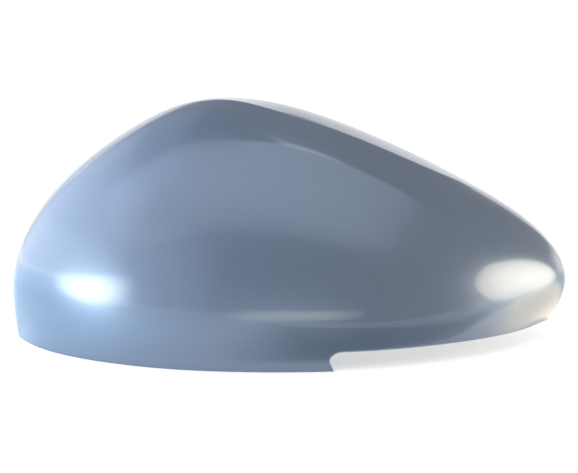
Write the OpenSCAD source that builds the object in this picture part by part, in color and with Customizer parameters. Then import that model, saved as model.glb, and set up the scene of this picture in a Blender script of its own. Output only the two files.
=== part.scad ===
// Cover of a car's wing mirror: one thin painted moulding, open to the rear and below.
// The front bulges towards -Y, the rear rim lies in an upright plane, and the bottom rim is level.
// The broad end is at -X, the narrow end at +X, and the origin is at the bottom centre.

/* [Shell] */
// Width from the broad end to the tip
cover_w = 240; // [200:1:280]
// Height of the peak over the bottom rim
cover_h = 105.6; // [90:0.2:120]
// Depth from the front of the bottom rim to the rear rim
cover_d = 62; // [54:1:74]
// Wall thickness
wall = 2.5; // [1.8:0.1:3.2]
// Fullness of the upright section: 2 is an ellipse, more is squarer
fullness = 2.1; // [1.9:0.05:2.6]

/* [Creases] */
// How far the shoulder crease stands out of the panel
shoulder_out = 1.5; // [0:0.1:2.5]
// How far the shoulder crease reaches to each side
shoulder_reach = 17; // [10:1:24]
// How far the top crease stands out of the panel
top_out = 0.7; // [0:0.1:1.2]
// How far the top crease reaches to each side
top_reach = 9; // [6:0.5:12]
// Radius that softens both creases
crease_r = 0.8; // [0.3:0.1:2]

/* [Bottom cut-out] */
// Height of the raised rim beyond the step
step_h = 8; // [5:0.5:11]
// Place of the step's lip along X
step_x = 18.8; // [8:0.2:30]
// How far the lip overhangs the cut-out
step_lip = 1.9; // [0:0.1:2.4]
// Radius of the cut-out's inner corner
step_r = 4; // [2:0.2:4.6]

/* [Snap hooks] */
// Width of a snap hook along the rim
hook_w = 11; // [6:0.5:14]
// Thickness of a snap hook's tongue
hook_t = 2; // [1.4:0.1:2.6]
// How far a snap hook stands in from the wall
hook_len = 8; // [6:0.5:11]
// How far a snap hook's barb stands out of its tongue
barb = 1.4; // [0.8:0.1:2]
// Distance of the rear hooks from the rear rim
hook_back = 9; // [7:0.5:12]
// Height of the lower hooks over the edge below them
hook_rise = 7; // [5:0.5:12]

/* [Locating pegs] */
// Radius of a locating peg
peg_r = 3; // [2:0.1:4]
// Distance from the rear rim to the ends of the pegs
peg_back = 28; // [24:0.5:32]
// Place of the peg near the broad end along X
peg_left = -62; // [-72:1:-50]
// Place of the peg near the tip along X
peg_right = 40; // [30:1:50]
// Height of the pegs over the bottom rim
peg_z = 40; // [34:1:46]
// Length of a peg from its shoulder to its tapered tip
peg_free = 8; // [5:0.5:10]
// How far the shoulder stands out round a peg
peg_step = 1.2; // [0.6:0.1:2]
// Thickness of the webs round a peg
web_t = 1.5; // [1:0.1:2]
// How far a web reaches from the peg's axis
web_reach = 9; // [6:0.5:11]

/* [Rim ribs] */
// Thickness of the ribs along the rear rim
rib_t = 1.5; // [1:0.1:2]
// How far the ribs stand in from the wall
rib_h = 3.5; // [2:0.25:5]
// Length of the ribs from front to rear
rib_len = 10; // [6:0.5:14]
// Distance of the ribs from the rear rim
rib_back = 2; // [1:0.5:4]

/* [Hidden] */

// Rear rim in its plane, seen from the front: X and Z, from the broad end's corner over the
// peak to the narrow end.
rear_rim = [
    [-118, 0], [-120.2, 27], [-110.4, 52.5], [-93, 73.5], [-70.5, 90.5], [-45, 103.4], [-17, 105.2],
    [10.5, 99], [36, 89.2], [60.5, 77.8], [84.3, 64.5], [107.6, 48.2], [121.4, 25], [107.5, 0]
];
// Bottom rim seen from above: X and the distance behind the front, between the same corners.
bottom_rim = [
    [-118, 62], [-109.3, 44.4], [-95.5, 28.9], [-77.5, 16.6], [-56.5, 7.2], [-34, 2], [-11, 0],
    [12, 0.6], [34.5, 4.2], [55.5, 11.5], [74.5, 21], [90.5, 32.5], [102.7, 46.5], [107.5, 62]
];

// Places along the rims are given as u, from 0 at the broad end to 1 at the narrow end.
rear_hooks = [0.09, 0.26, 0.42, 0.58, 0.74, 0.9];
lower_hooks = [0.26, 0.42, 0.68];
ribs = [0.17, 0.34, 0.5, 0.66, 0.82];

// Where along u each crease begins, is full, begins to fade and ends, and how far its crest
// looks up, in degrees.
shoulder_span = [0.42, 0.51, 0.64, 0.82];
shoulder_face_angle = 52;
top_span = [0.33, 0.47, 0.69, 0.78];
top_face_angle = 75;

// The shoulder crease keeps one angle of the section, then drops to a lower one with the square of
// the way along u.
shoulder_angle = 63;
shoulder_low_angle = 40;
shoulder_drop_angle = 240;
drop_start = 0.5;
// The top crease lies at its lowest angle at its middle and rises to a high one towards both ends:
// it is half way up at a distance of top_half, and the power sets how steep the rise is.
top_angle = 76;
top_high_angle = 88;
top_middle = 0.6;
top_half = 0.145;
top_power = 6;

// Columns of the grid from the broad end to the narrow end.
columns = 88;
// Rows of the grid up to the shoulder crease, between the creases and up to the rear rim, and
// the least share of what is left above them that the first two stretches take.
rows = [15, 5, 5];
least_share = [0.4, 0.5];
// Length of the cut-out's corner along X, in radii, and how far its cutter runs past the shell.
step_arc = 1.4;
cut_margin = 5;
// Steps along u and in degrees that a normal is measured over.
probe = [0.002, 0.6];
// Places along a rim at which its extent is measured, and steps of a search by halves.
rim_probes = 200;
halvings = 24;
round_sides = 48;

// Root boss of a peg: its radius in peg radii, and its length in wall thicknesses.
boss_wide = 1.8;
boss_long = 1.8;
// Height of a peg's shoulder over the webs.
web_drop = 1;
// Length of a barb's lead-in and of its catch, in barbs.
lead_in = 2;
catch = 0.6;

function smooth(t) = let (c = min(1, max(0, t))) c * c * (3 - 2 * c);
function mix(a, b, t) = a + (b - a) * t;

// Uniform cubic B-spline close to the points p, for u from 0 to 1.
function guides(p) = let (
        last = len(p) - 1,
        inner = [for (k = [1:last - 1]) (8 * p[k] - p[k - 1] - p[k + 1]) / 6]
    ) concat([2 * p[0] - inner[0], p[0]], inner, [p[last], 2 * p[last] - inner[last - 2]]);
function curve(g, u) = let (
        spans = len(g) - 3,
        s = min(1, max(0, u)) * spans,
        k = min(spans - 1, floor(s)),
        f = s - k
    ) (g[k] * pow(1 - f, 3) + g[k + 1] * (3 * pow(f, 3) - 6 * f * f + 4)
        + g[k + 2] * (-3 * pow(f, 3) + 3 * f * f + 3 * f + 1) + g[k + 3] * pow(f, 3)) / 6;

// The drawn rims are stretched to the cover's width, height and depth.
function extent(p, k) = let (along = [for (u = [0:1 / rim_probes:1]) curve(guides(p), u)[k]])
    max(along) - min(along);
wider = cover_w / extent(rear_rim, 0);
higher = cover_h / extent(rear_rim, 1);
deeper = cover_d / extent(bottom_rim, 1);
rear_guides = guides([for (p = rear_rim) [p[0] * wider, p[1] * higher]]);
bottom_guides = guides([for (p = bottom_rim) [p[0] * wider, p[1] * deeper]]);

// Upright section at u: a quarter superellipse from the bottom rim at a = 0 to the rear rim at 90.
function section(u, a) = let (
        low = curve(bottom_guides, u),
        high = curve(rear_guides, u),
        back = 1 - pow(max(0, cos(a)), 2 / fullness),
        up = pow(max(0, sin(a)), 2 / fullness)
    ) [
        mix(low[0], high[0], smooth(a / 90)),
        mix(low[1], cover_d, back) - cover_d / 2,
        high[1] * up
    ];

// Angle of the section at which each crease runs, and how much of it there is at u.
function shoulder_at(u) =
    max(shoulder_low_angle, shoulder_angle - shoulder_drop_angle * pow(max(0, u - drop_start), 2));
function top_at(u) = let (rise = pow(abs(u - top_middle) / top_half, top_power))
    mix(top_angle, top_high_angle, rise / (1 + rise));
function share(u, span) = smooth((u - span[0]) / (span[1] - span[0]))
    * smooth((span[3] - u) / (span[3] - span[2]));

// A crease is a ridge that falls off to both sides: out * (1 - distance / reach) ^ 2.
function ridge(u, a, at, out, reach, face) = let (
        gap = norm(section(u, a) - section(u, at)),
        soft = sqrt(gap * gap + crease_r * crease_r) - crease_r,
        lift = out * pow(max(0, 1 - soft / reach), 2)
    ) lift * [0, -cos(face), sin(face)];
function outer(u, a) = section(u, a)
    + ridge(u, a, shoulder_at(u), shoulder_out * share(u, shoulder_span), shoulder_reach,
        shoulder_face_angle)
    + ridge(u, a, top_at(u), top_out * share(u, top_span), top_reach, top_face_angle);

// Unit normal of the outer face, and the face that lies t below it.
function normal(u, a) = let (
        inside = min(1 - 4 * probe[0], max(4 * probe[0], u)),
        along = outer(inside + probe[0], a) - outer(inside - probe[0], a),
        up = outer(inside, min(90, a + probe[1])) - outer(inside, max(0, a - probe[1])),
        n = cross(along, up)
    ) n / norm(n);
function below(u, a, t) = outer(u, a) - t * normal(u, a);

// Angle of the section that lies z high, and the one that lies dist in front of the rear rim.
function angle_at_height(u, z) = let (high = curve(rear_guides, u)[1])
    z >= high ? 90 : asin(pow(z / high, fullness / 2));
function angle_at_depth(u, dist) = let (low = curve(bottom_guides, u)[1])
    acos(pow(min(1, dist / (cover_d - low)), fullness / 2));

// Halving the stretch from lo to hi finds u where the bottom rim passes x, and where the front
// panel passes x at the height z.
function bottom_u(x, lo = 0.2, hi = 0.9, turns = halvings) = let (mid = (lo + hi) / 2)
    turns == 0 ? mid
    : curve(bottom_guides, mid)[0] < x ? bottom_u(x, mid, hi, turns - 1)
    : bottom_u(x, lo, mid, turns - 1);
function panel_u(x, z, lo = 0.1, hi = 0.9, turns = halvings) = let (mid = (lo + hi) / 2)
    turns == 0 ? mid
    : section(mid, angle_at_height(mid, z))[0] < x ? panel_u(x, z, mid, hi, turns - 1)
    : panel_u(x, z, lo, mid, turns - 1);

// Angle of the section at row j of the column at u: a row runs along each crease.
row_count = rows[0] + rows[1] + rows[2];
function row_angle(u, j) = let (
        shoulder = max(shoulder_at(u), 90 * least_share[0]),
        top = max(top_at(u), mix(shoulder, 90, least_share[1])),
        past_shoulder = j - rows[0],
        past_top = past_shoulder - rows[1]
    )
    past_shoulder <= 0 ? shoulder * j / rows[0]
    : past_top <= 0 ? mix(shoulder, top, past_shoulder / rows[1])
    : mix(top, 90, past_top / rows[2]);

// Points of the outer face (t = 0) or of the inner one, with one point at each end of the rims.
// Both faces end in the rear plane and at the height 0, and no point lies behind that plane.
function face_points(t) = [
        for (i = [0:columns])
            let (u = i / columns, is_end = i == 0 || i == columns)
                for (j = is_end ? [row_count] : [0:row_count])
                    let (a = row_angle(u, j), p = t == 0 ? outer(u, a) : below(u, a, t)) [
                        p[0],
                        j == row_count ? cover_d / 2 : min(p[1], cover_d / 2),
                        is_end || j == 0 ? 0 : p[2]
                    ]
    ];
face_size = (columns - 1) * (row_count + 1) + 2;
function point_at(i, j) = i == 0 ? 0 : i == columns ? face_size - 1
    : 1 + (i - 1) * (row_count + 1) + j;

// Two triangles for each four corners, turned over on request, without those that are a line.
function triangles(a, b, c, d, flip) = [
        for (f = [[a, b, c], [a, c, d]])
            if (f[0] != f[1] && f[1] != f[2] && f[2] != f[0])
                flip ? [f[0], f[2], f[1]] : f
    ];
function skin_faces(start, flip) = [
        for (i = [0:columns - 1])
            for (j = [0:row_count - 1])
                each triangles(start + point_at(i, j), start + point_at(i + 1, j),
                    start + point_at(i + 1, j + 1), start + point_at(i, j + 1), flip)
    ];
function rim_faces(j, flip) = [
        for (i = [0:columns - 1])
            each triangles(point_at(i, j), point_at(i + 1, j), face_size + point_at(i + 1, j),
                face_size + point_at(i, j), flip)
    ];
module shell() {
    polyhedron(
        concat(face_points(0), face_points(wall)),
        concat(skin_faces(0, true), skin_faces(face_size, false), rim_faces(0, false),
            rim_faces(row_count, true)),
        convexity = 6
    );
}

// Cutter that raises the bottom rim towards the narrow end: it leaves the lip, the undercut side,
// the round corner and the level edge.
module cut_out() {
    undercut_x = step_x - step_lip;
    corner_z = step_h - step_r;
    rotate([90, 0, 0])
        linear_extrude(cover_d + 2 * cut_margin, center = true)
            polygon(concat(
                [[step_x, -cut_margin], [step_x, 0]],
                [for (t = [0:15:90])
                    [undercut_x + step_arc * step_r * (1 - cos(t)), corner_z + step_r * sin(t)]],
                [[cover_w, step_h], [cover_w, -cut_margin]]
            ));
}

// Matrix that puts a profile drawn as [across, outward] and extruded along the rim on the middle
// of the wall at u and a. Across lies in the wall and points as near to the given way as it can.
to_rear = [0, 1, 0];
upward = [0, 0, 1];
function on_wall(u, a, way) = let (
        p = below(u, a, wall / 2),
        out = normal(u, a),
        along = cross(way, out) / norm(cross(way, out)),
        across = cross(out, along)
    ) [
        [across[0], out[0], along[0], p[0]],
        [across[1], out[1], along[1], p[1]],
        [across[2], out[2], along[2], p[2]],
        [0, 0, 0, 1]
    ];

// Snap hook: a tongue with a root fillet and a barb with a lead-in slope.
module snap_hook(u, a, way) {
    half = hook_t / 2;
    root = wall / 2;
    tip = root + hook_len;
    nose = tip - lead_in * barb;
    multmatrix(on_wall(u, a, way))
        linear_extrude(hook_w, center = true)
            polygon([
                [-half, 0], [-half, -tip], [half / 2, -tip], [half + barb, -nose],
                [half, -nose + catch * barb], [half, -root - half], [hook_t, -root], [hook_t, 0]
            ]);
}

// Rib across the rim: it seats a little in from the rear rim and is bevelled at both ends.
module rim_rib(u) {
    half = rib_len / 2;
    root = wall / 2;
    multmatrix(on_wall(u, angle_at_depth(u, rib_back + half), to_rear))
        linear_extrude(rib_t, center = true)
            polygon([
                [-half, 0], [-half + rib_h, -root - rib_h], [half - rib_h / 2, -root - rib_h],
                [half, -root], [half, 0]
            ]);
}

// Y of the middle of the front panel's wall at x and z.
function panel_y(x, z) = let (u = panel_u(x, z)) below(u, angle_at_height(u, z), wall / 2)[1];

// Locating peg with a tapered tip, on a post with a shoulder and four webs that points to the
// rear. A low boss square to the sloping wall carries the post's root.
module peg(x) {
    u = panel_u(x, peg_z);
    seat = panel_y(x, peg_z);
    root = seat + wall;
    lead = peg_r / 3;
    shank_end = cover_d / 2 - peg_back - lead;
    shoulder = shank_end - peg_free;
    web_end = shoulder - web_drop;
    post_r = peg_r + peg_step;
    multmatrix(on_wall(u, angle_at_height(u, peg_z), upward))
        rotate([90, 0, 0])
            cylinder(boss_long * wall, r = boss_wide * peg_r, $fn = round_sides);
    translate([x, root, peg_z])
        rotate([-90, 0, 0]) {
            cylinder(shoulder - root, r = post_r, $fn = round_sides);
            cylinder(shank_end - root, r = peg_r, $fn = round_sides);
            translate([0, 0, shank_end - root])
                cylinder(lead, r1 = peg_r, r2 = peg_r - lead / 2, $fn = round_sides);
        }
    for (way = [-1, 1]) {
        side_x = x + way * web_reach;
        side_z = peg_z + way * web_reach;
        translate([0, 0, peg_z - web_t / 2])
            linear_extrude(web_t)
                polygon([
                    [x, seat], [side_x, panel_y(side_x, peg_z)],
                    [side_x, panel_y(side_x, peg_z) + wall], [x + way * post_r, web_end],
                    [x, web_end]
                ]);
        translate([x - web_t / 2, 0, 0])
            rotate([90, 0, 90])
                linear_extrude(web_t)
                    polygon([
                        [seat, peg_z], [panel_y(x, side_z), side_z],
                        [panel_y(x, side_z) + wall, side_z], [web_end, peg_z + way * post_r],
                        [web_end, peg_z]
                    ]);
    }
}

module mirror_cover() {
    color("lightsteelblue") {
        difference() {
            shell();
            cut_out();
        }
        for (u = rear_hooks) snap_hook(u, angle_at_depth(u, hook_back), to_rear);
        for (u = lower_hooks)
            snap_hook(u, angle_at_height(u, hook_rise + (u < bottom_u(step_x) ? 0 : step_h)), upward);
        for (u = ribs) rim_rib(u);
        peg(peg_left);
        peg(peg_right);
    }
}

mirror_cover();
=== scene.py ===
import math

import bmesh
import bpy
import mathutils
import numpy as np
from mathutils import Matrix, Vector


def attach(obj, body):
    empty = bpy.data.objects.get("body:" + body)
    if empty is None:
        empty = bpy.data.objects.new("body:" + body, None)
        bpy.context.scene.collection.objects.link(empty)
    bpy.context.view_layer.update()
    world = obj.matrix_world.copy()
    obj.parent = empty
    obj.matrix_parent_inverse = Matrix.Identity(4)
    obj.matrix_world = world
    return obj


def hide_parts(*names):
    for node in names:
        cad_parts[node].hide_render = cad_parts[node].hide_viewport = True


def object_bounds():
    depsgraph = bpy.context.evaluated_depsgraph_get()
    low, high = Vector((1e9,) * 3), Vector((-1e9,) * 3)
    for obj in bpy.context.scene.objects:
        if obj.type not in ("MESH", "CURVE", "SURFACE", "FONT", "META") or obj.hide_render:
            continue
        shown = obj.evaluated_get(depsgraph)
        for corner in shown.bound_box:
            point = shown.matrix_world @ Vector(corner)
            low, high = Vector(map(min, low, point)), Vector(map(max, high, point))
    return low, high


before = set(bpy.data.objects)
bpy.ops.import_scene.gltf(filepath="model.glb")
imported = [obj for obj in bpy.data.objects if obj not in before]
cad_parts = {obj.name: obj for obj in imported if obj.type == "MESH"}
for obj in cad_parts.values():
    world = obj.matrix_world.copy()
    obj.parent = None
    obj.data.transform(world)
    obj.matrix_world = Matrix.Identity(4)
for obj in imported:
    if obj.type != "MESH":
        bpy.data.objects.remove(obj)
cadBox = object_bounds()
print("frame loaded")

# One millimetre of the cover's drawing in Blender's metres
mm = 0.001

# The cover's surface, in millimetres, degrees and shares of the run from the broad end (0) to the
# narrow end (1)
cover = {
    "width": 240.0,
    "height": 105.6,
    "depth": 62.0,
    "wall": 2.5,
    "fullness": 2.1,
    "rearRim": [
        (-118, 0), (-120.2, 27), (-110.4, 52.5), (-93, 73.5), (-70.5, 90.5), (-45, 103.4),
        (-17, 105.2), (10.5, 99), (36, 89.2), (60.5, 77.8), (84.3, 64.5), (107.6, 48.2),
        (121.4, 25), (107.5, 0),
    ],
    "bottomRim": [
        (-118, 62), (-109.3, 44.4), (-95.5, 28.9), (-77.5, 16.6), (-56.5, 7.2), (-34, 2), (-11, 0),
        (12, 0.6), (34.5, 4.2), (55.5, 11.5), (74.5, 21), (90.5, 32.5), (102.7, 46.5), (107.5, 62),
    ],
    "shoulder": {"out": 1.5, "reach": 17.0, "face": 52.0, "span": (0.42, 0.51, 0.64, 0.82)},
    "shoulderLine": {"angle": 60.3, "low": 40.0, "bend": 173.0, "from": 0.5},
    "top": {"out": 0.7, "reach": 9.0, "face": 75.0, "span": (0.33, 0.47, 0.69, 0.78)},
    "topLine": {"angle": 76.0, "high": 88.0, "middle": 0.6, "half": 0.145, "power": 6},
    "creaseRadius": 0.5,
    "step": {"height": 8.0, "lipX": 18.8, "lip": 1.9, "radius": 4.0, "arc": 1.4},
    "columns": (150, 5, 16, 110),
    "rows": (66, 26, 20),
    "leastShare": (0.4, 0.5),
    "nearEdge": 0.6,
    "endGap": 0.002,
    "lean": 1.35,
    "regularZ": 16.0,
    "outerEdge": 0.7,
    "innerEdge": 0.35,
    "edgeSteps": 4,
    "edgeShare": 0.45,
    "settle": 3,
    "search": {"bottom": (0.2, 0.9), "panel": (0.1, 0.9), "last": (0.93, 1.0)},
}


def smooth(t):
    # c * c * (3 - 2c), with c the value held between 0 and 1
    c = np.clip(t, 0.0, 1.0)
    return c * c * (3.0 - 2.0 * c)


def mix(a, b, t):
    # a + (b - a) * t
    return a + (b - a) * t


def guides(points):
    # Guides of a uniform cubic B-spline close to the points: an inner one is a sixth of eight times
    # its point less both neighbours, and the ends are carried on straight
    p = np.array(points, float)
    inner = (8.0 * p[1:-1] - p[:-2] - p[2:]) / 6.0
    return np.vstack([2 * p[:1] - inner[:1], p[:1], inner, p[-1:], 2 * p[-1:] - inner[-1:]])


def curve(guide, u):
    # Uniform cubic B-spline: four guides weighted by the cubic blending functions of the place f
    # inside the span
    spans = len(guide) - 3
    s = np.clip(u, 0.0, 1.0) * spans
    k = np.minimum(s.astype(int), spans - 1)
    f = (s - k)[..., None]
    return (
        guide[k] * (1 - f) ** 3
        + guide[k + 1] * (3 * f**3 - 6 * f**2 + 4)
        + guide[k + 2] * (-3 * f**3 + 3 * f**2 + 3 * f + 1)
        + guide[k + 3] * f**3
    ) / 6.0


def extent(points, steps=201):
    # Width and height of the curve drawn by the points
    drawn = curve(guides(points), np.linspace(0, 1, steps))
    return drawn.max(0) - drawn.min(0)


# The drawn rims are stretched to the cover's width, height and depth
wider, higher = np.array([cover["width"], cover["height"]]) / extent(cover["rearRim"])
deeper = cover["depth"] / extent(cover["bottomRim"])[1]
rearGuides = guides(np.array(cover["rearRim"]) * (wider, higher))
bottomGuides = guides(np.array(cover["bottomRim"]) * (wider, deeper))


def section(u, a):
    # Upright section: a quarter superellipse from the bottom rim (a = 0) to the rear rim (a = 90),
    # back = 1 - cos(a) ^ (2 / n), up = sin(a) ^ (2 / n), with x eased from one rim to the other
    power = 2.0 / cover["fullness"]
    low = curve(bottomGuides, u)
    high = curve(rearGuides, u)
    back = 1.0 - np.clip(np.cos(np.radians(a)), 0, 1) ** power
    up = np.clip(np.sin(np.radians(a)), 0, 1) ** power
    x = mix(low[..., 0], high[..., 0], smooth(a / 90.0))
    y = mix(low[..., 1], cover["depth"], back) - cover["depth"] / 2
    return np.stack([x, y, high[..., 1] * up], -1)


def shoulderAt(u):
    # The shoulder crease keeps its angle, then drops with the square of the way past the bend
    line = cover["shoulderLine"]
    past = np.maximum(0, u - line["from"])
    return np.maximum(line["low"], line["angle"] - line["bend"] * past**2)


def topAt(u):
    # The top crease rises from its middle to both ends by the share r / (1 + r), r being a power of
    # the way to the place where it is half way up
    line = cover["topLine"]
    rise = (np.abs(u - line["middle"]) / line["half"]) ** line["power"]
    return mix(line["angle"], line["high"], rise / (1 + rise))


def share(u, span):
    # Fades in over the first stretch of the span and out over the last
    start, full, fade, end = span
    return smooth((u - start) / (full - start)) * smooth((end - u) / (end - fade))


def ridge(u, a, at, crease):
    # A crease lifts the surface by out * (1 - distance / reach) ^ 2, with its crest softened
    gap = np.linalg.norm(section(u, a) - section(u, at), axis=-1)
    r = cover["creaseRadius"]
    soft = np.sqrt(gap**2 + r * r) - r
    near = np.clip(1 - soft / crease["reach"], 0, None)
    lift = crease["out"] * share(u, crease["span"]) * near**2
    face = math.radians(crease["face"])
    return lift[..., None] * np.array([0.0, -math.cos(face), math.sin(face)])


def outer(u, a):
    # Section plus both creases
    shoulder = ridge(u, a, shoulderAt(u), cover["shoulder"])
    return section(u, a) + shoulder + ridge(u, a, topAt(u), cover["top"])


def normal(u, a, du=0.002, da=0.6):
    # Cross product of the steps along u and along a, made one long
    inside = np.clip(u, 4 * du, 1 - 4 * du)
    along = outer(inside + du, a) - outer(inside - du, a)
    up = outer(inside, np.minimum(90.0, a + da)) - outer(inside, np.maximum(0.0, a - da))
    n = np.cross(along, up)
    return n / np.linalg.norm(n, axis=-1, keepdims=True)


def angleAtHeight(u, z):
    # The section's formula for its height, turned round to give the angle
    high = np.maximum(curve(rearGuides, u)[..., 1], 1e-6)
    return np.degrees(np.arcsin(np.clip(z / high, 0, 1) ** (cover["fullness"] / 2)))


def angleAtDepth(u, dist):
    # The section's formula for its depth, turned round to give the angle
    low = curve(bottomGuides, u)[..., 1]
    ahead = np.clip(dist / (cover["depth"] - low), 0, 1)
    return np.degrees(np.arccos(ahead ** (cover["fullness"] / 2)))


def halve(passed, lo, hi, turns=40):
    # Halves the stretch from lo to hi until it closes on the place where passed() turns true
    for _ in range(turns):
        mid = (lo + hi) / 2
        there = passed(mid)
        lo, hi = np.where(there, lo, mid), np.where(there, mid, hi)
    return (lo + hi) / 2


def searchEnds(name, shape=()):
    # Both ends of the stretch that a search starts from, as arrays of the given shape
    return [np.full(shape, end) for end in cover["search"][name]]


def bottomU(x):
    # Where the bottom rim passes x
    x = np.asarray(x, float)
    return halve(lambda u: curve(bottomGuides, u)[..., 0] >= x, *searchEnds("bottom", x.shape))


def panelU(x, z):
    # Where the front panel passes x at the height z
    x = np.asarray(x, float)
    ends = searchEnds("panel", x.shape)
    return halve(lambda u: section(u, angleAtHeight(u, z))[..., 0] >= x, *ends)


def coverGrid():
    # Every column gets the u and height of its lower edge: level, back up the undercut side of the
    # step, round its corner and along the raised rim. From there it runs to its place on a regular
    # row that lies over the step, and on to its place on the rear rim.
    step = cover["step"]
    before, side, corner, after = cover["columns"]
    undercut = step["lipX"] - step["lip"]
    sideShare = np.arange(1, side + 1) / (side + 1)
    sideZ = step["height"] - step["radius"]
    turn = np.radians(np.linspace(0.0, 90.0, corner))
    cornerX = undercut + step["arc"] * step["radius"] * (1 - np.cos(turn))
    cornerZ = step["height"] - step["radius"] * (1 - np.sin(turn))
    past = np.arange(1, after + 1) / after
    first = cover["endGap"]
    rimEnd = halve(lambda u: curve(rearGuides, u)[..., 1] <= step["height"], *searchEnds("last"))
    last = rimEnd - first
    lipU, cornerU = bottomU(step["lipX"]), bottomU(cornerX[-1])
    edgeU = np.concatenate([
        mix(first, lipU, np.arange(before + 1) / before),
        bottomU(mix(step["lipX"], undercut, sideShare)),
        bottomU(cornerX),
        mix(cornerU, last, past),
    ])
    raised = np.full(after, step["height"])
    edgeZ = np.concatenate([np.zeros(before + 1), sideZ * sideShare, cornerZ, raised])

    # The regular row: the lip's column leans to the left of the undercut side
    lean = cover["lean"] * step["lip"] / sideZ
    leanU = bottomU(step["lipX"] - lean * cover["regularZ"])
    regularU = np.concatenate([
        mix(first, leanU, np.arange(before + 1) / before),
        mix(leanU, cornerU, np.arange(1, side + corner + 1) / (side + corner)),
        mix(cornerU, last, past),
    ])
    rearU = mix(first, last, np.arange(len(edgeU)) / (len(edgeU) - 1))

    toShoulder, toTop, toRim = cover["rows"]
    near = cover["nearEdge"]
    lowShare = np.concatenate([[0.0, near], np.arange(1, toShoulder + 1)])[:, None] / toShoulder
    midShare = (np.arange(1, toTop + 1) / toTop)[:, None]
    highShare = np.concatenate([np.arange(1, toRim) / toRim, [1 - near / toRim, 1.0]])[:, None]
    rowShare = np.linspace(0, 1, len(lowShare) + len(midShare) + len(highShare))[:, None]
    splits = [len(lowShare), len(lowShare) + len(midShare)]
    start = angleAtHeight(edgeU, edgeZ)
    u = mix(edgeU, rearU, smooth(rowShare))
    for _ in range(cover["settle"]):
        shoulder = np.maximum(shoulderAt(u), mix(start, 90.0, cover["leastShare"][0]))
        top = np.maximum(topAt(u), mix(shoulder, 90.0, cover["leastShare"][1]))
        toCrest, fromCrest, _ = np.split(shoulder, splits)
        _, toRidge, fromRidge = np.split(top, splits)
        a = np.concatenate([
            mix(start, toCrest, lowShare),
            mix(fromCrest, toRidge, midShare),
            mix(fromRidge, 90.0, highShare),
        ])
        z = section(u, a)[..., 2]
        below = np.clip((z - edgeZ) / np.maximum(cover["regularZ"] - edgeZ, 1.0), 0, 1)
        lower = mix(edgeU, regularU, below)
        high = curve(rearGuides, u)[..., 1]
        above = np.clip((z - cover["regularZ"]) / np.maximum(high - cover["regularZ"], 1.0), 0, 1)
        u = mix(lower, rearU, smooth(above))
        u[0] = edgeU
    return u.T, a.T


def resized(ways, lengths):
    # Each direction made as long as its length
    return ways / np.maximum(np.linalg.norm(ways, axis=-1, keepdims=True), 1e-9) * lengths[:, None]


def roundedRim(face, other, nextRow, radius):
    # Arc of the edge between a face and the rim, where the face's last row meets it: the centre
    # lies one radius up the face and one across the rim, and the arc turns from the face to the
    # rim. The radius is held to a share of the room there.
    up = nextRow - face
    across = other - face
    room = np.minimum(np.linalg.norm(up, axis=-1), np.linalg.norm(across, axis=-1))
    reach = np.minimum(radius, cover["edgeShare"] * room)
    up, across = resized(up, reach), resized(across, reach)
    turn = np.radians(np.linspace(0, 90, cover["edgeSteps"] + 1))
    c, s = np.cos(turn)[None, :, None], np.sin(turn)[None, :, None]
    return face[:, None, :] + up[:, None, :] * (1 - s) + across[:, None, :] * (1 - c)


def coverRings():
    # Outer and inner faces lie a wall apart along the normal and end flat at the rims. The ring of
    # each column runs up the outer face, over the rear rim, down the inner face and back under the
    # bottom rim, with a rounded edge at each of its four corners, which takes the place of the two
    # rows next to that rim.
    u, a = coverGrid()
    half = cover["depth"] / 2
    outside = outer(u, a)
    inside = outside - cover["wall"] * normal(u, a)
    outside[:, -1, 1] = half
    inside[:, -1, 1] = half
    inside[..., 1] = np.minimum(inside[..., 1], half)
    inside[:, 0, 2] = outside[:, 0, 2]
    soft, fine = cover["outerEdge"], cover["innerEdge"]
    stretches = [
        roundedRim(outside[:, 0], inside[:, 0], outside[:, 2], soft)[:, ::-1],
        outside[:, 2:-2],
        roundedRim(outside[:, -1], inside[:, -1], outside[:, -3], soft),
        roundedRim(inside[:, -1], outside[:, -1], inside[:, -3], fine)[:, ::-1],
        inside[:, -3:1:-1],
        roundedRim(inside[:, 0], outside[:, 0], inside[:, 2], fine),
    ]
    outerCount = len(stretches) // 2
    isInner = np.concatenate([
        np.full(stretch.shape[1], k >= outerCount) for k, stretch in enumerate(stretches)
    ])
    rings = np.concatenate(stretches, axis=1)
    return rings, np.broadcast_to(isInner, rings.shape[:2])


def intoBox(points):
    # Millimetres to metres, each axis run from the built surface's ends onto the CAD box's
    points = points * mm
    low, high = points.reshape(-1, 3).min(0), points.reshape(-1, 3).max(0)
    boxLow, boxHigh = np.array(cadBox[0]), np.array(cadBox[1])
    return boxLow + (points - low) / (high - low) * (boxHigh - boxLow)


def linkMesh(name, points, faces, material):
    # Mesh object at the origin, from points in metres, shaded smooth
    mesh = bpy.data.meshes.new(name)
    mesh.from_pydata(points.tolist(), [], faces)
    mesh.validate()
    mesh.update()
    mesh.polygons.foreach_set("use_smooth", np.ones(len(mesh.polygons), bool))
    obj = bpy.data.objects.new(name, mesh)
    bpy.context.collection.objects.link(obj)
    obj.data.materials.append(material)
    return obj


def ringFaces(columns, around):
    # Quads between neighbouring rings, and one face across each end
    index = np.arange(columns * around).reshape(columns, around)
    turned = np.roll(index, -1, axis=1)
    quads = np.stack([index[:-1], index[1:], turned[1:], turned[:-1]], -1).reshape(-1, 4)
    return quads.tolist() + [index[0].tolist(), index[-1, ::-1].tolist()]


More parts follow.
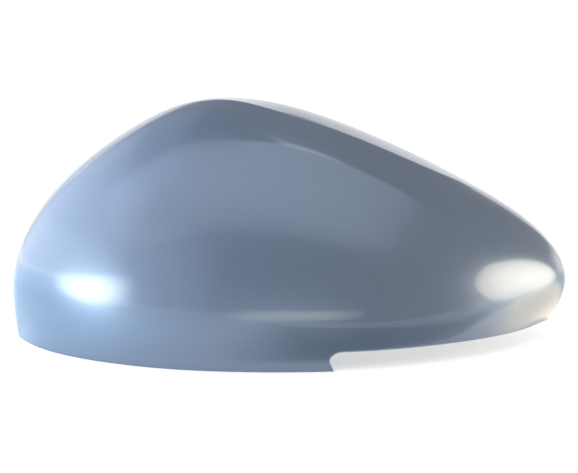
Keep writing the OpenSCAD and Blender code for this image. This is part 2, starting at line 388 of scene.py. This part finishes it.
# The finish: sizes in millimetres, colours in linear light. Where the paint fades, a noise of
# speckSize moves its share up or down by up to speckReach, and it is cut off over speckCut.
finish = {
    "colour": (0.160, 0.216, 0.322, 1),
    "flakeColour": (0.19, 0.25, 0.36, 1),
    "metallic": 0.35,
    "roughness": 0.27,
    "coat": 1.0,
    "coatRoughness": 0.055,
    "flakeSize": 0.12,
    "flakeShare": 0.3,
    "peelSize": 2.6,
    "peelDetail": 1.0,
    "peelHeight": 0.004,
    "plasticColour": (0.055, 0.057, 0.061, 1),
    "plasticRoughness": 0.48,
    "grainSize": 0.45,
    "grainDetail": 3.0,
    "grainHeight": 0.02,
    "overspray": 8.0,
    "speckSize": 0.5,
    "speckDetail": 4.0,
    "speckNoise": (0.3, 0.7),
    "speckReach": 0.35,
    "speckCut": (0.35, 0.65),
}


def socketMaths(nodes, links):
    # Gives a function that makes a math node from sockets and fixed values
    def calculate(operation, *values):
        node = nodes.new("ShaderNodeMath")
        node.operation = operation
        for slot, value in enumerate(values):
            if isinstance(value, bpy.types.NodeSocket):
                links.new(value, node.inputs[slot])
            else:
                node.inputs[slot].default_value = value
        return node.outputs[0]

    return calculate


def eased(nodes, links, value, fromLow, fromHigh, toLow, toHigh):
    # Runs from toLow to toHigh by c * c * (3 - 2c), c being the value's share of the way from
    # fromLow to fromHigh
    node = nodes.new("ShaderNodeMapRange")
    node.interpolation_type = "SMOOTHSTEP"
    ends = {"From Min": fromLow, "From Max": fromHigh, "To Min": toLow, "To Max": toHigh}
    for key, number in ends.items():
        node.inputs[key].default_value = number
    links.new(value, node.inputs["Value"])
    return node.outputs["Result"]


def blended(nodes, links, kind, factor, one, other):
    # Mixes two sockets or fixed values by a factor socket. The mix node has a set of sockets for
    # each kind of value: its places for the factor and both values, and for the result.
    node = nodes.new("ShaderNodeMix")
    node.data_type = kind
    *slots, result = {"FLOAT": (0, 2, 3, 0), "RGBA": (0, 6, 7, 2)}[kind]
    for slot, value in zip(slots, (factor, one, other)):
        if isinstance(value, bpy.types.NodeSocket):
            links.new(value, node.inputs[slot])
        else:
            node.inputs[slot].default_value = value
    return node.outputs[result]


def paintMaterial():
    # Blue-grey paint with metal flakes under a clear coat outside, and bare grey plastic inside.
    # The share of paint that each point carries mixes the two, broken up into specks where it fades.
    material = bpy.data.materials.new("blue_grey_paint")
    material.use_nodes = True
    nodes, links = material.node_tree.nodes, material.node_tree.links
    shader = nodes["Principled BSDF"]
    place = nodes.new("ShaderNodeTexCoord").outputs["Object"]

    def noise(size, detail):
        node = nodes.new("ShaderNodeTexNoise")
        node.inputs["Scale"].default_value = 1 / (size * mm)
        node.inputs["Detail"].default_value = detail
        links.new(place, node.inputs["Vector"])
        return node.outputs["Fac"]

    def bump(height, distance):
        node = nodes.new("ShaderNodeBump")
        node.inputs["Strength"].default_value = 1.0
        node.inputs["Distance"].default_value = distance * mm
        links.new(height, node.inputs["Height"])
        return node.outputs["Normal"]

    carried = nodes.new("ShaderNodeAttribute")
    carried.attribute_name = "paintShare"
    reach = finish["speckReach"]
    specks = noise(finish["speckSize"], finish["speckDetail"])
    specks = eased(nodes, links, specks, *finish["speckNoise"], -reach, reach)
    speckled = socketMaths(nodes, links)("ADD", carried.outputs["Fac"], specks)
    painted = eased(nodes, links, speckled, *finish["speckCut"], 0.0, 1.0)

    flakes = nodes.new("ShaderNodeTexVoronoi")
    flakes.inputs["Scale"].default_value = 1 / (finish["flakeSize"] * mm)
    links.new(place, flakes.inputs["Vector"])
    split = nodes.new("ShaderNodeSeparateColor")
    links.new(flakes.outputs["Color"], split.inputs["Color"])
    bright = eased(nodes, links, split.outputs["Red"], 1 - finish["flakeShare"], 1.0, 0.0, 1.0)
    paint = blended(nodes, links, "RGBA", bright, finish["colour"], finish["flakeColour"])

    # Each socket's kind, its value on bare plastic and its value on paint
    mixed = {
        "Base Color": ("RGBA", finish["plasticColour"], paint),
        "Metallic": ("FLOAT", 0.0, finish["metallic"]),
        "Roughness": ("FLOAT", finish["plasticRoughness"], finish["roughness"]),
        "Coat Weight": ("FLOAT", 0.0, finish["coat"]),
    }
    for key, (kind, onPlastic, onPaint) in mixed.items():
        links.new(blended(nodes, links, kind, painted, onPlastic, onPaint), shader.inputs[key])
    shader.inputs["Coat Roughness"].default_value = finish["coatRoughness"]
    # The grain lies on bare plastic only, since paint takes the noise's middle everywhere
    grain = noise(finish["grainSize"], finish["grainDetail"])
    grain = blended(nodes, links, "FLOAT", painted, grain, 0.5)
    links.new(bump(grain, finish["grainHeight"]), shader.inputs["Normal"])
    peel = noise(finish["peelSize"], finish["peelDetail"])
    links.new(bump(peel, finish["peelHeight"]), shader.inputs["Coat Normal"])
    return material


def carryPaint(obj, shares):
    # Writes each point's share of paint
    attribute = obj.data.attributes.new("paintShare", "FLOAT", "POINT")
    attribute.data.foreach_set("value", np.asarray(shares, np.float32))


def oversprayShare(points):
    # Paint on the inner face fades with the distance from the nearer rim, in millimetres
    step = cover["step"]
    raised = points[..., 0] > step["lipX"] - step["lip"]
    fromRear = cover["depth"] / 2 - points[..., 1]
    fromBelow = points[..., 2] - np.where(raised, step["height"], 0)
    return 1 - smooth(np.minimum(fromRear, fromBelow) / finish["overspray"])


rings, innerRows = coverRings()
coverPaint = paintMaterial()
shellPoints, shellFaces = intoBox(rings.reshape(-1, 3)), ringFaces(*rings.shape[:2])
shell = linkMesh("cover_shell", shellPoints, shellFaces, coverPaint)
carryPaint(shell, np.where(innerRows, oversprayShare(rings), 1.0).ravel())
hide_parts("mirror_cover")
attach(shell, "root")
print("cover made", rings.shape)

# Sizes of what is moulded inside, in millimetres, and its places along the rims
hooks = {
    "width": 11.0, "thickness": 2.0, "length": 8.0, "barb": 1.4, "leadIn": 2.0, "catch": 0.6,
    "back": 9.0, "rise": 7.0,
    "rear": (0.09, 0.26, 0.42, 0.58, 0.74, 0.9), "lower": (0.26, 0.42, 0.68),
}
ribs = {
    "thickness": 1.5, "height": 3.5, "length": 10.0, "back": 2.0,
    "places": (0.17, 0.34, 0.5, 0.66, 0.82),
}
pegs = {
    "radius": 3.0, "back": 28.0, "x": (-62.0, 40.0), "z": 40.0, "free": 8.0, "step": 1.2,
    "web": 1.5, "webReach": 9.0, "webDrop": 1.0, "bossWide": 1.8, "bossLong": 1.8, "sides": 64,
    "soft": 0.25,
}
sideways = np.array([1.0, 0.0, 0.0])
toRear = np.array([0.0, 1.0, 0.0])
upward = np.array([0.0, 0.0, 1.0])


def onWall(u, a, way):
    # Place on the middle of the wall and three directions there: in the wall towards the given way,
    # out of the wall, and along the rim
    u, a = np.array(float(u)), np.array(float(a))
    out = normal(u, a)
    middle = outer(u, a) - cover["wall"] / 2 * out
    along = np.cross(way, out)
    along /= np.linalg.norm(along)
    return middle, np.cross(out, along), out, along


def prism(profile, depth, origin, across, up, along):
    # Outline drawn in the across and up directions and stretched to both sides of it
    profile = np.array(profile, float)
    flat = origin + profile[:, :1] * across + profile[:, 1:] * up
    points = np.concatenate([flat - along * depth / 2, flat + along * depth / 2])
    n = len(profile)
    faces = [list(range(n))[::-1], list(range(n, 2 * n))]
    faces += [[k, (k + 1) % n, n + (k + 1) % n, n + k] for k in range(n)]
    return points, faces


def turned(outline, origin, axis, sides):
    # Outline of (radius, height) turned round an axis: rings of points and quads between them
    side = np.cross(axis, upward if abs(axis[2]) < 0.9 else toRear)
    side /= np.linalg.norm(side)
    other = np.cross(axis, side)
    turn = np.linspace(0, 2 * np.pi, sides, endpoint=False)[:, None]
    circle = np.cos(turn) * side + np.sin(turn) * other
    points = np.concatenate([origin + axis * h + circle * r for r, h in outline])
    last = (len(outline) - 1) * sides
    faces = [
        [k + i, k + (i + 1) % sides, k + sides + (i + 1) % sides, k + sides + i]
        for k in range(0, last, sides)
        for i in range(sides)
    ]
    faces += [list(range(sides))[::-1], list(range(last, last + sides))]
    return points, faces


def joined(parts):
    # Points and faces of several closed shapes in one mesh
    points, faces, start = [], [], 0
    for shapePoints, shapeFaces in parts:
        points.append(shapePoints)
        faces += [[start + k for k in face] for face in shapeFaces]
        start += len(shapePoints)
    return np.concatenate(points), faces


def hookShape(u, a, way):
    # Tongue with a root fillet and a barb with a lead-in slope
    half = hooks["thickness"] / 2
    root = cover["wall"] / 2
    tip = root + hooks["length"]
    nose = tip - hooks["leadIn"] * hooks["barb"]
    catch = nose - hooks["catch"] * hooks["barb"]
    outline = [
        (-half, 0), (-half, -tip), (half / 2, -tip), (half + hooks["barb"], -nose), (half, -catch),
        (half, -root - half), (2 * half, -root), (2 * half, 0),
    ]
    return prism(outline, hooks["width"], *onWall(u, a, way))


def ribShape(u):
    # Low rib across the rim, bevelled at both ends
    half = ribs["length"] / 2
    root = cover["wall"] / 2
    low = root + ribs["height"]
    outline = [
        (-half, 0), (-half + ribs["height"], -low), (half - ribs["height"] / 2, -low),
        (half, -root), (half, 0),
    ]
    a = angleAtDepth(np.array(u), ribs["back"] + half)
    return prism(outline, ribs["thickness"], *onWall(u, a, toRear))


def panelPlace(x, z):
    # Middle of the front panel's wall at x and z: its y, its u and the section's angle
    u = panelU(x, z)
    a = angleAtHeight(u, z)
    return (outer(u, a) - cover["wall"] / 2 * normal(u, a))[1], u, a


def pegShapes(x):
    # Post with a shoulder and a tapered pin, on a boss square to the wall, with four webs
    z, wall = pegs["z"], cover["wall"]
    seat, u, a = panelPlace(x, z)
    lead = pegs["radius"] / 3
    root = seat + wall
    shankEnd = cover["depth"] / 2 - pegs["back"] - lead
    shoulder = shankEnd - pegs["free"]
    webEnd = shoulder - pegs["webDrop"]
    post = pegs["radius"] + pegs["step"]
    soft = pegs["soft"]
    pin = [
        (post, root), (post, shoulder - soft), (post - soft, shoulder), (pegs["radius"], shoulder),
        (pegs["radius"], shankEnd), (pegs["radius"] - lead / 2, shankEnd + lead),
    ]
    shapes = [turned(pin, np.array([x, 0.0, z]), toRear, pegs["sides"])]
    middle, _, out, _ = onWall(u, a, upward)
    bossLength, bossRadius = pegs["bossLong"] * wall, pegs["bossWide"] * pegs["radius"]
    boss = [(bossRadius, 0.0), (bossRadius, bossLength - soft), (bossRadius - soft, bossLength)]
    shapes.append(turned(boss, middle, -out, pegs["sides"]))
    for way in (-1, 1):
        for turn in ("x", "z"):
            reach = pegs["webReach"] * way
            foot = panelPlace(x + reach, z)[0] if turn == "x" else panelPlace(x, z + reach)[0]
            outline = [
                (0, seat), (reach, foot), (reach, foot + wall), (post * way, webEnd), (0, webEnd),
            ]
            across, along = (sideways, upward) if turn == "x" else (upward, sideways)
            shapes.append(prism(outline, pegs["web"], np.array([x, 0.0, z]), across, toRear, along))
    return shapes


def insideShapes():
    # Everything that stands on the inner face, by kind
    rear = [
        hookShape(u, angleAtDepth(np.array(u), hooks["back"]), toRear) for u in hooks["rear"]
    ]
    lipU = bottomU(cover["step"]["lipX"])
    lower = []
    for u in hooks["lower"]:
        rim = 0 if u < lipU else cover["step"]["height"]
        a = angleAtHeight(np.array(u), rim + hooks["rise"])
        lower.append(hookShape(u, a, upward))
    return {
        "snap_hooks": rear + lower,
        "rim_ribs": [ribShape(u) for u in ribs["places"]],
        "locating_pegs": [shape for x in pegs["x"] for shape in pegShapes(x)],
    }


def faceOutward(obj):
    # Turns every face of a closed mesh outward
    work = bmesh.new()
    work.from_mesh(obj.data)
    bmesh.ops.recalc_face_normals(work, faces=work.faces)
    work.to_mesh(obj.data)
    work.free()


for name, parts in insideShapes().items():
    points, faces = joined(parts)
    piece = linkMesh(name, points * mm, faces, coverPaint)
    carryPaint(piece, oversprayShare(points))
    faceOutward(piece)
    piece.data.polygons.foreach_set("use_smooth", np.zeros(len(piece.data.polygons), bool))
    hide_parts("mirror_cover")
    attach(piece, "root")
print("hooks, ribs and pegs made")


# The studio, in metres: a camera at the photograph's angle, a pale floor, cards and soft lamps
view = {
    "elevation": 12.0, "distance": 1.2, "aimZ": 0.0512,
    "pixelSize": 0.000422, "frameWidth": 578, "sensor": 36.0, "clipEnd": 50.0,
}
floor = {
    "half": 3.0, "colour": 0.85, "roughness": 0.9,
    "lift": 0.42, "farLift": 0.75, "far": (0.5, 1.6),
}
cardHeight = 0.0006
# Each card's low and high are its corners, and soft is how far it thins out from each side, across
# and then along
cards = {
    "dark_card": {
        "low": (-0.06, -0.6), "high": (0.34, -0.042), "soft": ((0.09, 0.1), (0.2, 0.015)),
        "colour": (0.12, 0.12, 0.12), "glow": 0.0,
    },
    "light_card": {
        "low": (0.118, -0.02), "high": (0.25, 0.065), "soft": ((0.004, 0.06), (0.03, 0.03)),
        "colour": (1.0, 0.85, 0.61), "glow": 1.95,
    },
    "blue_card": {
        "low": (-0.9, -0.35), "high": (-0.05, 0.25), "soft": ((0.2, 0.12), (0.15, 0.1)),
        "colour": (0.64, 0.85, 1.0), "glow": 0.9,
    },
}
# Each lamp looks at a place on the cover in millimetres, from az degrees (0 is the camera's side,
# 90 the narrow end's) and el degrees up; a level of 1 is white
lamps = {
    "ceiling_front": {
        "target": (0, 0, 50), "az": -14, "el": 55, "distance": 1.3, "size": (3.2, 1.4),
        "level": 0.8, "colour": (0.90, 0.97, 1.0), "roll": 13, "fade": (0.35, 0.3),
    },
    "ceiling_left": {
        "target": (-40, 0, 60), "az": -105, "el": 40, "distance": 1.3, "size": (2.2, 1.5),
        "level": 0.48, "colour": (0.66, 0.76, 1.0), "roll": 0, "fade": (0.5, 0.4),
    },
    "crest_light": {
        "target": (10, 0, 88), "az": 95, "el": 72, "distance": 0.8, "size": (0.5, 0.3),
        "level": 1.3, "colour": (1, 1, 1), "roll": 0, "fade": (0.5, 0.5),
    },
    "left_wash": {
        "target": (-95, 5, 40), "az": -100, "el": 16, "distance": 0.7, "size": (1.5, 1.0),
        "level": 1.9, "colour": (0.77, 0.89, 1.0), "roll": 0, "fade": (0.9, 0.9),
    },
    "left_fill": {
        "target": (-60, -15, 50), "az": -46, "el": 9, "distance": 0.7, "size": (0.9, 0.5),
        "level": 0.7, "colour": (0.78, 0.90, 1.0), "roll": 0, "fade": (0.8, 0.8),
    },
    "left_side": {
        "target": (-105, 0, 50), "az": -98, "el": 0, "distance": 0.1, "size": (0.3, 0.1),
        "level": 0.8, "colour": (0.9, 0.97, 1.0), "roll": 0, "fade": (0.9, 1.2),
    },
    "left_key": {
        "target": (-79, -22, 28), "az": -69, "el": 0, "distance": 0.3, "size": (0.26, 0.068),
        "level": 10.5, "colour": (0.92, 1.0, 0.98), "roll": 11, "fade": (1.5, 1.0),
    },
    "right_key": {
        "target": (100, -16, 35), "az": 90, "el": 0, "distance": 0.1, "size": (0.104, 0.057),
        "level": 6.6, "colour": (1.0, 0.84, 0.60), "roll": -26, "fade": (0.3, 0.3),
        "shape": "ELLIPSE",
    },
    "right_side": {
        "target": (105, 15, 35), "az": 122, "el": 5, "distance": 0.5, "size": (0.42, 0.2),
        "level": 1.9, "colour": (1.0, 0.94, 0.82), "roll": 0, "fade": (0.8, 0.8),
    },
    "low_strip": {
        "target": (5, -29, 24), "az": 7, "el": 1, "distance": 0.6, "size": (0.55, 0.04),
        "level": 3.0, "colour": (1.0, 0.99, 0.88), "roll": 5, "fade": (1.2, 0.6),
    },
    "back_wall": {
        "target": (0, 0, 40), "az": 180, "el": 14, "distance": 1.6, "size": (2.4, 0.8),
        "level": 0.9, "colour": (1, 1, 1), "roll": 0, "fade": (0, 0),
    },
}
# The world's light runs from cool on the broad end's side to warm on the narrow end's
worldLight = {"level": 0.36, "left": (0.96, 1.0, 1.06, 1), "right": (1.08, 0.98, 0.86, 1)}


def placeCamera():
    # Long lens that sees pixelSize of the object in each pixel at the aim's distance
    data = bpy.data.cameras.new("camera")
    data.sensor_width = view["sensor"]
    data.lens = view["sensor"] * view["distance"] / (view["pixelSize"] * view["frameWidth"])
    data.clip_end = view["clipEnd"]
    obj = bpy.data.objects.new("camera", data)
    bpy.context.collection.objects.link(obj)
    tilt = math.radians(view["elevation"])
    back, up = view["distance"] * math.cos(tilt), view["distance"] * math.sin(tilt)
    obj.location = (0, -back, view["aimZ"] + up)
    obj.rotation_euler = (math.radians(90) - tilt, 0, 0)
    bpy.context.scene.camera = obj


def flatPiece(name, low, high, height):
    # Level rectangle between two corners with its own material; gives the object, nodes and links
    mesh = bpy.data.meshes.new(name)
    corners = [
        (low[0], low[1], height), (high[0], low[1], height),
        (high[0], high[1], height), (low[0], high[1], height),
    ]
    mesh.from_pydata(corners, [], [(0, 1, 2, 3)])
    obj = bpy.data.objects.new(name, mesh)
    bpy.context.collection.objects.link(obj)
    material = bpy.data.materials.new(name)
    material.use_nodes = True
    obj.data.materials.append(material)
    return obj, material.node_tree.nodes, material.node_tree.links


def whiteFloor():
    # Pale paint that is lit and holds the shadow. A glow seen only by the camera and in reflections
    # lifts it to white, more of it where the lamps no longer reach.
    half = floor["half"]
    _, nodes, links = flatPiece("floor", (-half, -half), (half, half), 0.0)
    calculate = socketMaths(nodes, links)
    shader = nodes["Principled BSDF"]
    shader.inputs["Base Color"].default_value = (*[floor["colour"]] * 3, 1)
    shader.inputs["Roughness"].default_value = floor["roughness"]
    shader.inputs["Specular IOR Level"].default_value = 0.0
    shader.inputs["Emission Color"].default_value = (1, 1, 1, 1)
    away = nodes.new("ShaderNodeVectorMath")
    away.operation = "LENGTH"
    links.new(nodes.new("ShaderNodeTexCoord").outputs["Object"], away.inputs[0])
    lifts = floor["lift"], floor["farLift"]
    lift = eased(nodes, links, away.outputs["Value"], *floor["far"], *lifts)
    rays = nodes.new("ShaderNodeLightPath").outputs
    mirrored = calculate("MAXIMUM", rays["Is Glossy Ray"], rays["Is Transmission Ray"])
    seen = calculate("MAXIMUM", rays["Is Camera Ray"], mirrored)
    links.new(calculate("MULTIPLY", seen, lift), shader.inputs["Emission Strength"])


def floorCard(name, low, high, soft, colour, glow):
    # Card lying on the floor, seen only in reflections, that thins out towards its four sides
    obj, nodes, links = flatPiece(name, low, high, cardHeight)
    calculate = socketMaths(nodes, links)
    shader = nodes["Principled BSDF"]
    shader.inputs["Base Color"].default_value = (*colour, 1)
    shader.inputs["Roughness"].default_value = 1.0
    shader.inputs["Specular IOR Level"].default_value = 0.0
    shader.inputs["Emission Color"].default_value = (*colour, 1)
    shader.inputs["Emission Strength"].default_value = glow
    place = nodes.new("ShaderNodeSeparateXYZ")
    links.new(nodes.new("ShaderNodeTexCoord").outputs["Object"], place.inputs[0])
    opacity = 1.0
    for along, start, end, (first, last) in zip(place.outputs, low, high, soft):
        rise = eased(nodes, links, along, start, start + first, 0, 1)
        fall = eased(nodes, links, along, end - last, end, 1, 0)
        opacity = calculate("MULTIPLY", calculate("MULTIPLY", opacity, rise), fall)
    links.new(opacity, shader.inputs["Alpha"])
    obj.visible_camera = obj.visible_diffuse = obj.visible_shadow = False


def softbox(name, target, az, el, distance, size, level, colour, roll, fade, shape="RECTANGLE"):
    # Flat lamp, turned by roll degrees, whose power is level * pi * its area. Across and upward it
    # dims by (4u(1 - u)) ^ fade, with u the share of the way over it.
    a, e = math.radians(az), math.radians(el)
    way = np.array([math.sin(a) * math.cos(e), -math.cos(a) * math.cos(e), math.sin(e)])
    lamp = bpy.data.lights.new(name, "AREA")
    lamp.shape = shape
    lamp.size, lamp.size_y = size
    area = size[0] * size[1] * (math.pi / 4 if shape == "ELLIPSE" else 1)
    lamp.energy = level * math.pi * area
    lamp.color = colour
    if any(fade):
        lamp.use_nodes = True
        nodes, links = lamp.node_tree.nodes, lamp.node_tree.links
        calculate = socketMaths(nodes, links)
        across = nodes.new("ShaderNodeSeparateXYZ")
        links.new(nodes.new("ShaderNodeNewGeometry").outputs["Parametric"], across.inputs[0])
        falls = []
        for side, power in zip(across.outputs, fade):
            left = calculate("SUBTRACT", 1.0, side)
            inward = calculate("MULTIPLY", calculate("MULTIPLY", side, 4.0), left)
            falls.append(calculate("POWER", inward, power))
        links.new(calculate("MULTIPLY", *falls), nodes["Emission"].inputs["Strength"])
    obj = bpy.data.objects.new(name, lamp)
    bpy.context.collection.objects.link(obj)
    obj.location = np.array(target) * mm + distance * way
    aim = mathutils.Euler((math.radians(90) - e, 0, a)).to_matrix()
    obj.rotation_euler = (aim @ mathutils.Matrix.Rotation(math.radians(roll), 3, "Z")).to_euler()
    obj.visible_camera = False


def lightWorld():
    # Even light from everywhere, tinted along x
    world = bpy.data.worlds.new("studio")
    bpy.context.scene.world = world
    world.use_nodes = True
    nodes, links = world.node_tree.nodes, world.node_tree.links
    way = nodes.new("ShaderNodeSeparateXYZ")
    links.new(nodes.new("ShaderNodeTexCoord").outputs["Generated"], way.inputs[0])
    warmth = eased(nodes, links, way.outputs["X"], -1, 1, 0, 1)
    tint = blended(nodes, links, "RGBA", warmth, worldLight["left"], worldLight["right"])
    links.new(tint, nodes["Background"].inputs["Color"])
    nodes["Background"].inputs["Strength"].default_value = worldLight["level"]


placeCamera()
whiteFloor()
for name, card in cards.items():
    floorCard(name, **card)
for name, lamp in lamps.items():
    softbox(name, **lamp)
lightWorld()
print("studio made")

bpy.context.scene.view_settings.view_transform = "Standard"
